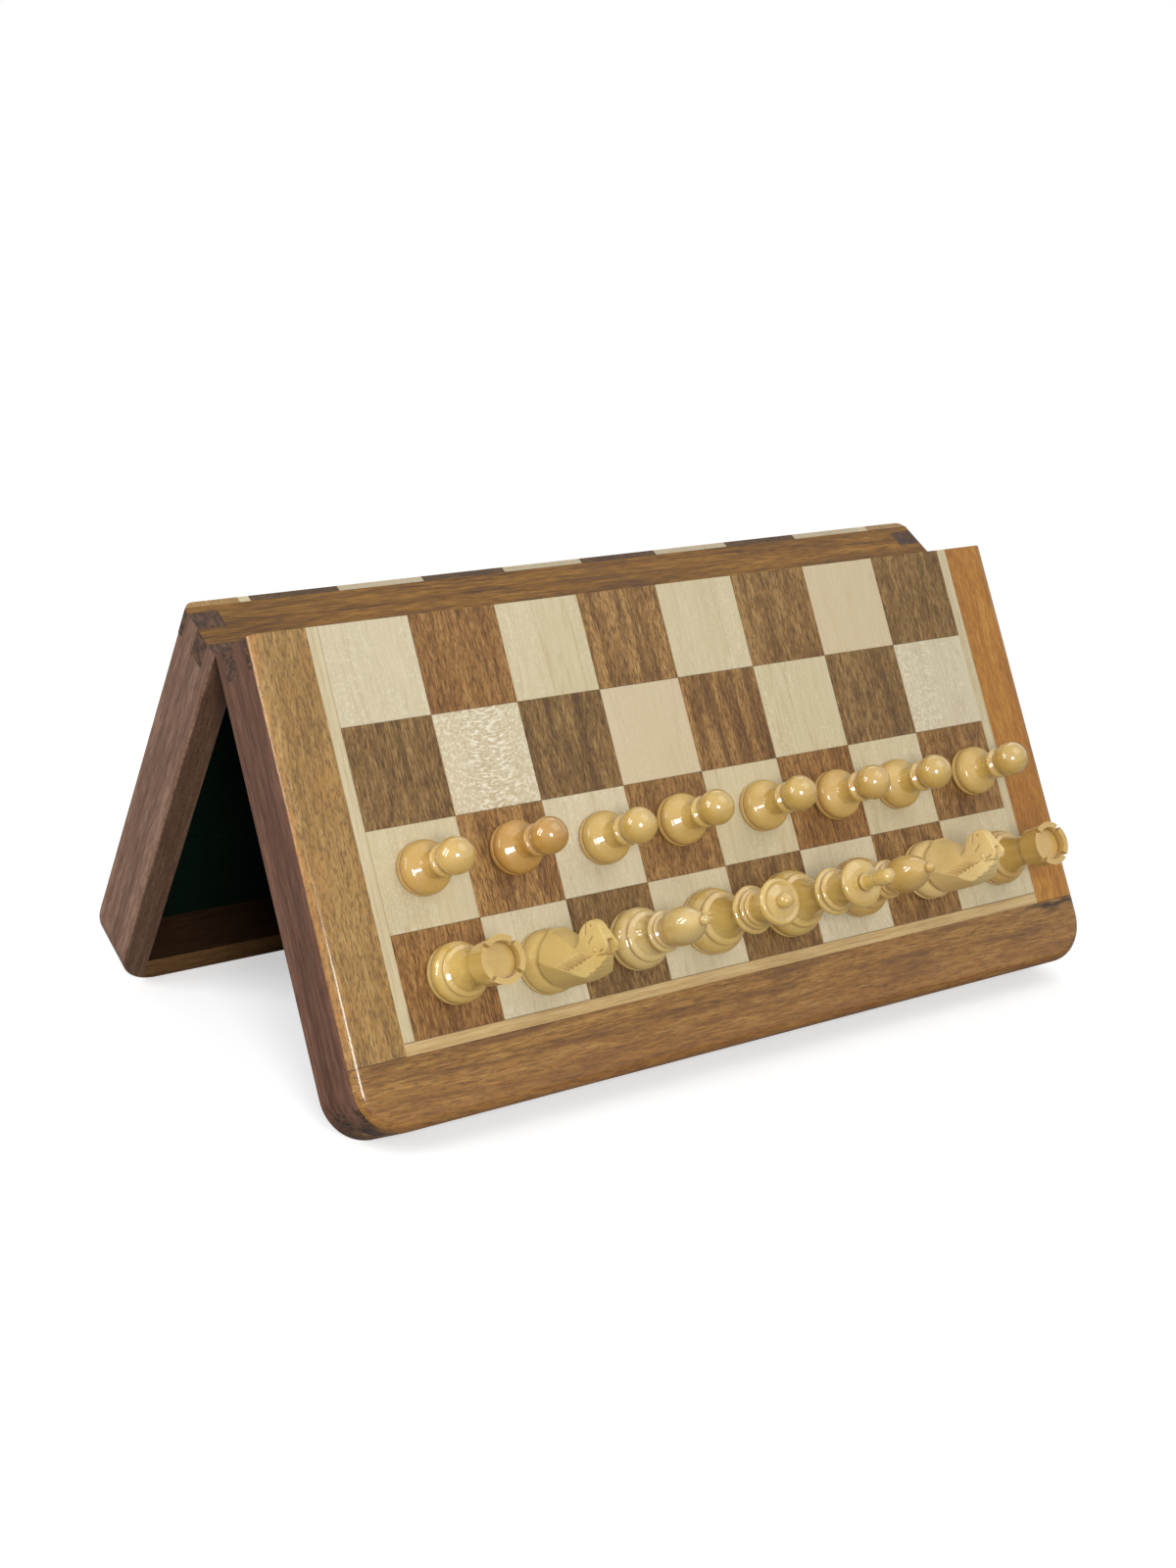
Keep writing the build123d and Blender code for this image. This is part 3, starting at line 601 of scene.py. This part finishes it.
def turned_wood(name, half, pale, deep, groove, seed, grain=0.12, lacquer=LACQUER,
                grooves=TURNED_GROOVES, satin_below=None):
    """Lacquered wood of the chess pieces on a felt pad, dark in its grooves with painted shade and
    the dark polish that gathers there.

    The lacquer is duller up to the height satin_below, where one is given, and the wood there is
    paler and greyer: painted sheen for the reflection that the duller coat gives up.
    """
    n = BoardFinish(name, half)
    place = n.vector("ADD", n.place, (seed, seed, seed))
    clouds = n.noise(n.vector("MULTIPLY", place, (0.07, 0.07, 0.05)), 2.0)
    fine = n.streaks(place, (0.9, 0.9, 14.0))
    wood = n.mix(n.remap(clouds, 0.35, 0.65), deep, pale)
    wood = n.mix(n.remap(fine, 0.5, 0.7, 0.0, grain), wood, groove)
    # Painted shade, with the dark polish that gathers there: darker in grooves and recesses by how
    # shut in they are, and along the foot groove
    wood = n.stain(wood, n.groove_shade_and_polish(*grooves), 0.7, groove)
    wood = n.stain(wood, n.near(n.w, FOOT_GROOVE, 0.3), 0.75, groove)
    coat = dict(lacquer)
    if satin_below is not None:
        full = coat["coat_weight"]
        satin = n.remap(n.w, satin_below - SATIN_BLEND, satin_below + SATIN_BLEND, 1.0, 0.0)
        # Painted sheen: paler, greyer wood where the coat is duller
        value = n.remap(satin, 0.0, 1.0, 1.0, SATIN_PAINTED_SHEEN_VALUE)
        wood = n.shade(wood, value, n.remap(satin, 0.0, 1.0, 1.0, SATIN_PAINTED_SHEEN_SATURATION))
        coat["coat_weight"] = n.remap(satin, 0.0, 1.0, full, SATIN_COAT * full)
    pad = n.maths("LESS_THAN", n.w, PAD_TOP)
    wood = n.mix(pad, wood, tone(20, 30, 20))
    roughness = n.mix(pad, grey(0.45), grey(0.95))
    return n.close(wood, roughness, n.bump(clouds, 0.05), specular_ior_level=0.25, **coat)


def dress(node, material):
    """Give a node its finish, keeping its mesh as it is."""
    piece = frame["nodes"][node]
    for slot in piece.material_slots:
        slot.material = material
    if not piece.material_slots:
        piece.data.materials.append(material)


def carve_softly(node):
    """Round the carved edges of a knight by a fraction of a millimetre."""
    piece = frame["nodes"][node]
    fine = piece.modifiers.new("fine", "REMESH")
    fine.mode = "VOXEL"
    fine.voxel_size = CARVING_VOXEL
    fine.use_smooth_shade = True
    soft = piece.modifiers.new("soft", "SMOOTH")
    soft.factor = 0.5
    soft.iterations = 3


def dress_board():
    """Finishes of both halves and their hinges."""
    brass = metal("hinge_brass", tone(172, 134, 62), tone(206, 170, 96), 0.28, (12, 0.3, 0.3))
    steel = metal("pin_steel", tone(150, 150, 154), tone(190, 190, 194), 0.3, (0.2, 3, 3))
    ply, lining = plywood(), felt()
    for half, maple_seed, walnut_seed in (("front", 5.0, 3.0), ("rear", 7.0, 9.0)):
        dress(f"{half}_dark_squares", dark_squares(half, walnut_seed))
        dress(f"{half}_light_squares", light_squares(half, maple_seed))
        dress(f"{half}_inlay_strips", inlay(half))
        dress(f"{half}_border_strips", borders(half))
        for name in ("left_wall", "right_wall"):
            dress(f"{half}_{name}", wall(half, name, ALONG_U))
        for name in ("hinge_wall", "far_wall"):
            dress(f"{half}_{name}", wall(half, name, ALONG_X))
        dress(f"{half}_felt_lining", lining)
        dress(f"{half}_deck", ply)
        dress(f"{half}_steel_sheet", steel)
        dress(f"{half}_hinge_leaves", brass)
        dress(f"{half}_hinge_screws", brass)
    dress("hinge_pins", steel)


def dress_pieces():
    """Finishes of the chess pieces, pale ones from a few sticks of boxwood, and the right knight's a
    paler copy as painted light.
    """
    # Colour of the grain streaks, and of the painted shade and dark polish in the grooves
    groove = tone(124, 82, 46)
    satin = {"satin_below": PAWN_NECK}
    carved = {"lacquer": CARVED_LACQUER, "grooves": CARVED_GROOVES}
    sticks = {
        "boxwood": (tone(204, 172, 94), tone(191, 156, 78), 0.0, {}),
        "pale_boxwood": (tone(210, 183, 117), tone(199, 168, 100), 50.0, {}),
        "carved_boxwood": (tone(210, 183, 114), tone(198, 168, 98), 20.0, carved),
        # The right knight's wood is a paler copy of the carved boxwood: painted light for the
        # brighter right of the set
        "painted_light_carved_boxwood": (tone(228, 200, 136), tone(217, 186, 120), 30.0, carved),
        "pawn_boxwood": (tone(203, 170, 92), tone(190, 154, 76), 10.0, satin),
        "warm_boxwood": (tone(201, 165, 89), tone(189, 150, 73), 40.0, {}),
        "warm_pawn_boxwood": (tone(201, 165, 89), tone(189, 150, 73), 60.0, satin),
        "amber_boxwood": (tone(189, 144, 66), tone(175, 128, 51), 80.0, satin),
    }
    woods = {name: turned_wood(name, "front", pale, deep, groove, seed, **extra)
             for name, (pale, deep, seed, extra) in sticks.items()}
    # Its third tone colours the grain, and the painted shade and dark polish in the grooves
    stained = turned_wood("stained_wood", "rear", tone(104, 56, 32), tone(78, 40, 23),
                          tone(36, 17, 10), 120.0, 0.6, STAINED_LACQUER)
    cut_from = {f"white_pawn_{number}": "pawn_boxwood" for number in range(1, 9)}
    cut_from |= {
        "white_pawn_1": "warm_pawn_boxwood",
        "white_pawn_2": "amber_boxwood",
        "white_pawn_6": "warm_pawn_boxwood",
        "white_left_knight": "carved_boxwood",
        "white_left_bishop": "pale_boxwood",
        "white_right_bishop": "warm_boxwood",
        "white_right_knight": "painted_light_carved_boxwood",
        "white_right_rook": "warm_boxwood",
    }
    for node in frame["nodes"]:
        if node.startswith("black_"):
            dress(node, stained)
        elif node.startswith("white_"):
            dress(node, woods[cut_from.get(node, "boxwood")])
        if node.endswith("_knight"):
            carve_softly(node)


def camera():
    """Camera at the photograph's place."""
    data = bpy.data.cameras.new("camera")
    data.sensor_fit = "AUTO"
    data.sensor_width = SENSOR_MM
    data.lens = LENS_MM
    data.clip_start, data.clip_end = CLIP_METRES
    piece = bpy.data.objects.new("camera", data)
    bpy.context.scene.collection.objects.link(piece)
    back = CAMERA_RIGHT.cross(CAMERA_UP)
    turn = Matrix((CAMERA_RIGHT, CAMERA_UP, back)).transposed()
    piece.matrix_world = Matrix.Translation(CAMERA_PLACE) @ turn.to_4x4()
    bpy.context.scene.camera = piece


def lamp(name, shape, direction, distance, width, height, power):
    """Area lamp that looks at the middle of the set."""
    data = bpy.data.lights.new(name, "AREA")
    data.shape = shape
    data.size, data.size_y = width, height
    data.energy = power
    piece = bpy.data.objects.new(name, data)
    bpy.context.scene.collection.objects.link(piece)
    direction = Vector(direction).normalized()
    piece.location = LAMP_TARGET + direction * distance
    piece.rotation_mode = "QUATERNION"
    piece.rotation_quaternion = direction.to_track_quat("Z", "Y")
    piece.visible_camera = False


def studio():
    """World that lights plainly and looks white to the camera and in reflections."""
    world = bpy.data.worlds.new("studio")
    bpy.context.scene.world = world
    world.use_nodes = True
    tree = world.node_tree
    tree.nodes.clear()
    rays = tree.nodes.new("ShaderNodeLightPath")
    seen = rays.outputs["Is Camera Ray"]
    for name in ("Is Glossy Ray", "Is Transmission Ray"):
        either = tree.nodes.new("ShaderNodeMath")
        either.operation = "MAXIMUM"
        tree.links.new(seen, either.inputs[0])
        tree.links.new(rays.outputs[name], either.inputs[1])
        seen = either.outputs[0]
    mixer = tree.nodes.new("ShaderNodeMixShader")
    tree.links.new(seen, mixer.inputs[0])
    for socket, strength in ((1, AMBIENT), (2, 1.0)):
        background = tree.nodes.new("ShaderNodeBackground")
        background.inputs["Color"].default_value = grey(1.0)
        background.inputs["Strength"].default_value = strength
        tree.links.new(background.outputs[0], mixer.inputs[socket])
    out = tree.nodes.new("ShaderNodeOutputWorld")
    tree.links.new(mixer.outputs[0], out.inputs[0])


def floor():
    """Pale floor that keeps the shadow and fades to white away from the set."""
    data = bpy.data.meshes.new("floor")
    signs = ((-1, -1), (1, -1), (1, 1), (-1, 1))
    corners = [(x * FLOOR_REACH, y * FLOOR_REACH, 0) for x, y in signs]
    data.from_pydata(corners, [], [(0, 1, 2, 3)])
    piece = bpy.data.objects.new("floor", data)
    bpy.context.scene.collection.objects.link(piece)
    n = Finish("floor")
    diffuse, bounce = (n.put("ShaderNodeBsdfDiffuse", {"Color": grey(level)}).outputs[0]
                       for level in (FLOOR_SHADE, FLOOR_BOUNCE))
    lift, backdrop = (n.put("ShaderNodeEmission", {"Color": grey(1.0), "Strength": level}).outputs[0]
                      for level in (FLOOR_LIFT, 1.0))
    lifted = n.put("ShaderNodeAddShader", {0: diffuse, 1: lift}).outputs[0]
    place = n.put("ShaderNodeTexCoord").outputs["Object"]
    away = n.put("ShaderNodeVectorMath", {0: place}, operation="LENGTH").outputs[1]
    far = n.remap(away, *FLOOR_FADE)
    seen = n.put("ShaderNodeMixShader", {0: far, 1: lifted, 2: backdrop}).outputs[0]
    camera_ray = n.put("ShaderNodeLightPath").outputs["Is Camera Ray"]
    surface = n.put("ShaderNodeMixShader", {0: camera_ray, 1: bounce, 2: seen}).outputs[0]
    n.put("ShaderNodeOutputMaterial", {0: surface})
    data.materials.append(n.material)


bpy.context.scene.view_settings.view_transform = "Standard"
camera()
studio()
floor()
for name, values in LAMPS.items():
    lamp(name, *values)
dress_board()
dress_pieces()
